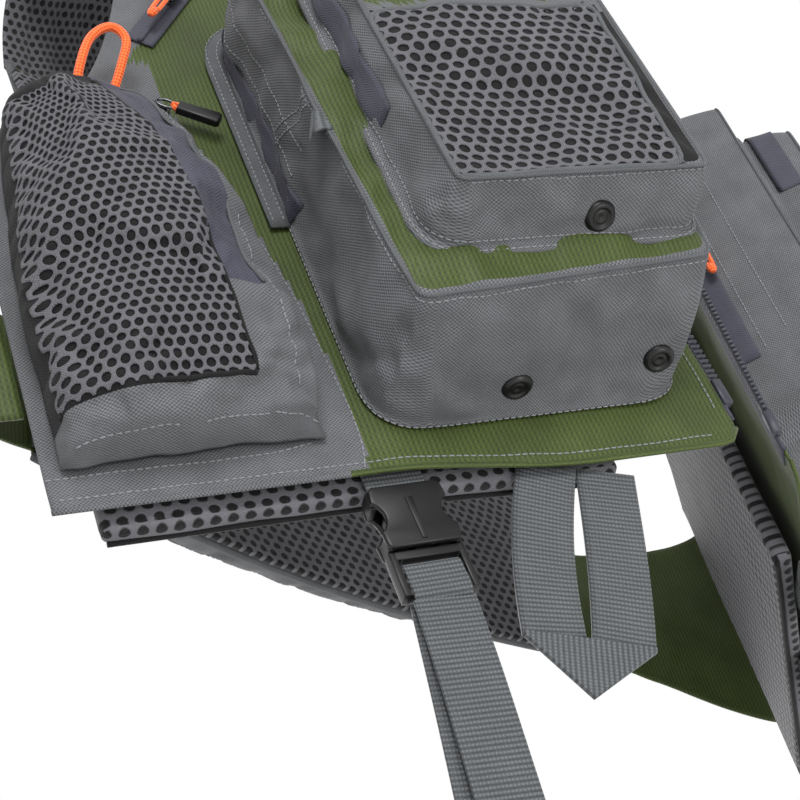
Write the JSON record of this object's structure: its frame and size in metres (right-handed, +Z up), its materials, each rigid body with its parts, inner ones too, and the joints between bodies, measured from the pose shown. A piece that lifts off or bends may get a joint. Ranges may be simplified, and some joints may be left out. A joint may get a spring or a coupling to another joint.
{
  "type": "fishing vest",
  "caption": "Open-fronted fishing vest with gusseted zip pockets, mesh side pockets, padded shoulders, hem loops and a clip belt.",
  "frame": {"origin": "middle of the neck opening, level with the tops of the shoulders", "axes": "+Z up as worn, -Y out of the front, -X to the wearer's right"},
  "size_m": [0.6, 0.3626, 0.9291],
  "materials": {
    "olive_nylon": "matt ribbed nylon",
    "grey_oxford": "matt coarse plain weave",
    "spacer_mesh": "matt open mesh",
    "webbing": "ribbed polyester webbing",
    "zip_tape": "herringbone tape",
    "orange_cord": "braided cord",
    "black_acetal": "satin moulded",
    "zip_teeth": "satin moulded",
    "dark_nickel": "polished dark plating"
  },
  "bodies": {
    "back": {"back_panel": "olive_nylon", "back_lining": "spacer_mesh", "back_pocket": "grey_oxford", "collar": "grey_oxford", "net_ring_tab": "webbing", "shoulder_pad_R": "grey_oxford", "shoulder_pad_L": "grey_oxford", "side_wing_R": "olive_nylon", "side_wing_L": "olive_nylon"},
    "right_front": {"front_panel_R": "olive_nylon", "mesh_lining_R": "spacer_mesh", "main_pocket_R": "olive_nylon", "small_pocket_R": "grey_oxford", "side_pocket_R": "spacer_mesh", "front_zip_R": "zip_teeth", "upper_zip_R": "zip_tape", "socket_tab_R": "webbing", "drain_eyelet_1": "black_acetal", "drain_eyelet_2": "black_acetal", "pocket_eyelet": "black_acetal", "side_cord_loop": "orange_cord"},
    "main_R_slider": {"main_R_slider": "dark_nickel"},
    "main_R_pull": {"main_R_pull": "orange_cord"},
    "small_R_slider": {"small_R_slider": "dark_nickel"},
    "small_R_pull": {"small_R_pull": "orange_cord"},
    "side_R_slider": {"side_R_slider": "dark_nickel"},
    "side_R_pull": {"side_R_pull": "orange_cord"},
    "upper_R_slider": {"upper_R_slider": "dark_nickel"},
    "upper_R_pull": {"upper_R_pull": "orange_cord"},
    "rod_loop_R": {"rod_loop_R": "webbing"},
    "buckle_R": {"buckle_socket_R": "black_acetal"},
    "left_front": {"front_panel_L": "olive_nylon", "mesh_lining_L": "spacer_mesh", "main_pocket_L": "olive_nylon", "small_pocket_L": "grey_oxford", "side_pocket_L": "spacer_mesh", "front_zip_L": "zip_teeth", "upper_zip_L": "zip_tape", "socket_tab_L": "webbing"},
    "main_L_slider": {"main_L_slider": "dark_nickel"},
    "main_L_pull": {"main_L_pull": "orange_cord"},
    "small_L_slider": {"small_L_slider": "dark_nickel"},
    "small_L_pull": {"small_L_pull": "orange_cord"},
    "side_L_slider": {"side_L_slider": "dark_nickel"},
    "side_L_pull": {"side_L_pull": "orange_cord"},
    "upper_L_slider": {"upper_L_slider": "dark_nickel"},
    "upper_L_pull": {"upper_L_pull": "orange_cord"},
    "rod_loop_L": {"rod_loop_L": "webbing"},
    "buckle_L": {"buckle_socket_L": "black_acetal"},
    "plug": {"buckle_plug": "black_acetal", "belt_strap": "webbing", "belt_tail": "webbing", "belt_end_plug": "black_acetal"},
    "prong_1": {"prong_1": "black_acetal"},
    "prong_2": {"prong_2": "black_acetal"},
    "front_slider": {"front_slider": "dark_nickel"},
    "front_pull": {"front_pull": "orange_cord"},
    "back_slider": {"back_slider": "dark_nickel"},
    "back_pull": {"back_pull": "orange_cord"},
    "net_ring": {"net_ring": "dark_nickel"}
  },
  "joints": [
    {"name": "right_front_swing", "type": "hinge", "parent": "back", "child": "right_front", "pos_m": [-0.28076, 0.01205, -0.4015], "axis": [0, 0, -1], "range_deg": [-4, 30]},
    {"name": "main_R_slide", "type": "slide", "parent": "right_front", "child": "main_R_slider", "axis": [-0.0887, 0.0554, 0.9945], "range_m": [-0.045, 0.05]},
    {"name": "main_R_pull_lift", "type": "hinge", "parent": "main_R_slider", "child": "main_R_pull", "pos_m": [-0.05136, -0.14575, -0.31708], "axis": [-0.5299, -0.848, 0], "range_deg": [0, 140]},
    {"name": "small_R_slide", "type": "slide", "parent": "right_front", "child": "small_R_slider", "axis": [-0.0887, 0.0554, 0.9945], "range_m": [-0.03, 0.06]},
    {"name": "small_R_pull_lift", "type": "hinge", "parent": "small_R_slider", "child": "small_R_pull", "pos_m": [-0.08021, -0.20147, -0.33803], "axis": [-0.5299, -0.848, 0], "range_deg": [0, 140]},
    {"name": "side_R_slide", "type": "slide", "parent": "right_front", "child": "side_R_slider", "axis": [0.4587, -0.2866, -0.8411], "range_m": [0, 0.024]},
    {"name": "side_R_pull_lift", "type": "hinge", "parent": "side_R_slider", "child": "side_R_pull", "pos_m": [-0.2159, -0.03991, -0.29228], "axis": [-0.3718, 0.2323, -0.8988], "range_deg": [0, 140]},
    {"name": "upper_R_slide", "type": "slide", "parent": "right_front", "child": "upper_R_slider", "axis": [0.424, -0.265, 0.866], "range_m": [-0.025, 0.025]},
    {"name": "upper_R_pull_lift", "type": "hinge", "parent": "upper_R_slider", "child": "upper_R_pull", "pos_m": [-0.20181, -0.05108, -0.20393], "axis": [-0.7344, 0.4589, 0.5], "range_deg": [0, 120]},
    {"name": "rod_loop_R_swing", "type": "hinge", "parent": "right_front", "child": "rod_loop_R", "pos_m": [-0.08809, -0.10375, -0.51655], "axis": [-0.8229, 0.5142, 0.2419], "range_deg": [-25, 60]},
    {"name": "belt_swing", "type": "hinge", "parent": "right_front", "child": "buckle_R", "pos_m": [-0.15222, -0.06367, -0.51456], "axis": [-0.8434, 0.527, -0.1045], "range_deg": [-15, 60]},
    {"name": "left_front_swing", "type": "hinge", "parent": "back", "child": "left_front", "pos_m": [0.28076, 0.01205, -0.4015], "axis": [0, 0, 1], "range_deg": [-4, 30]},
    {"name": "main_L_slide", "type": "slide", "parent": "left_front", "child": "main_L_slider", "axis": [0.0887, 0.0554, 0.9945], "range_m": [-0.045, 0.05]},
    {"name": "main_L_pull_lift", "type": "hinge", "parent": "main_L_slider", "child": "main_L_pull", "pos_m": [0.05136, -0.14575, -0.31708], "axis": [-0.5299, 0.848, 0], "range_deg": [0, 140]},
    {"name": "small_L_slide", "type": "slide", "parent": "left_front", "child": "small_L_slider", "axis": [0.0887, 0.0554, 0.9945], "range_m": [-0.03, 0.06]},
    {"name": "small_L_pull_lift", "type": "hinge", "parent": "small_L_slider", "child": "small_L_pull", "pos_m": [0.08021, -0.20147, -0.33803], "axis": [-0.5299, 0.848, 0], "range_deg": [0, 140]},
    {"name": "side_L_slide", "type": "slide", "parent": "left_front", "child": "side_L_slider", "axis": [-0.4587, -0.2866, -0.8411], "range_m": [0, 0.024]},
    {"name": "side_L_pull_lift", "type": "hinge", "parent": "side_L_slider", "child": "side_L_pull", "pos_m": [0.2159, -0.03991, -0.29228], "axis": [-0.3718, -0.2323, 0.8988], "range_deg": [0, 140]},
    {"name": "upper_L_slide", "type": "slide", "parent": "left_front", "child": "upper_L_slider", "axis": [-0.424, -0.265, 0.866], "range_m": [-0.025, 0.025]},
    {"name": "upper_L_pull_lift", "type": "hinge", "parent": "upper_L_slider", "child": "upper_L_pull", "pos_m": [0.20181, -0.05108, -0.20393], "axis": [-0.7344, -0.4589, -0.5], "range_deg": [0, 120]},
    {"name": "rod_loop_L_swing", "type": "hinge", "parent": "left_front", "child": "rod_loop_L", "pos_m": [0.08809, -0.10375, -0.51655], "axis": [-0.8229, -0.5142, -0.2419], "range_deg": [-25, 60]},
    {"name": "socket_L_swing", "type": "hinge", "parent": "left_front", "child": "buckle_L", "pos_m": [0.15222, -0.06367, -0.51456], "axis": [-0.8434, -0.527, 0.1045], "range_deg": [-15, 60]},
    {"name": "buckle_release", "type": "slide", "parent": "buckle_R", "child": "plug", "axis": [0.0887, -0.0554, -0.9945], "range_m": [0, 0.027]},
    {"name": "prong_1_squeeze", "type": "hinge", "parent": "plug", "child": "prong_1", "pos_m": [-0.15707, -0.06064, -0.54432], "axis": [-0.5299, -0.848, 0], "range_deg": [-6, 0], "stiffness_Nm_per_rad": 0.05},
    {"name": "prong_2_squeeze", "type": "hinge", "parent": "plug", "child": "prong_2", "pos_m": [-0.14222, -0.06992, -0.54248], "axis": [-0.5299, -0.848, 0], "range_deg": [0, 6], "stiffness_Nm_per_rad": 0.05},
    {"name": "front_slide", "type": "slide", "parent": "left_front", "child": "front_slider", "axis": [-0.0887, -0.0554, -0.9945], "range_m": [0, 0.22]},
    {"name": "front_pull_lift", "type": "hinge", "parent": "front_slider", "child": "front_pull", "pos_m": [0.04599, -0.14561, -0.24309], "axis": [-0.8434, -0.527, 0.1045], "range_deg": [0, 140]},
    {"name": "back_slide", "type": "slide", "parent": "back", "child": "back_slider", "axis": [-1, 0, 0], "range_m": [0, 0.11]},
    {"name": "back_pull_lift", "type": "hinge", "parent": "back_slider", "child": "back_pull", "pos_m": [0.06, 0.1227, -0.195], "axis": [0, 0, 1], "range_deg": [0, 120]},
    {"name": "net_ring_swing", "type": "hinge", "parent": "back", "child": "net_ring", "pos_m": [0, 0.1174, -0.129], "axis": [1, 0, 0], "range_deg": [0, 95]}
  ],
  "couplings": [
    {"joint": "prong_2_squeeze", "follows": "prong_1_squeeze", "ratio": -1}
  ]
}
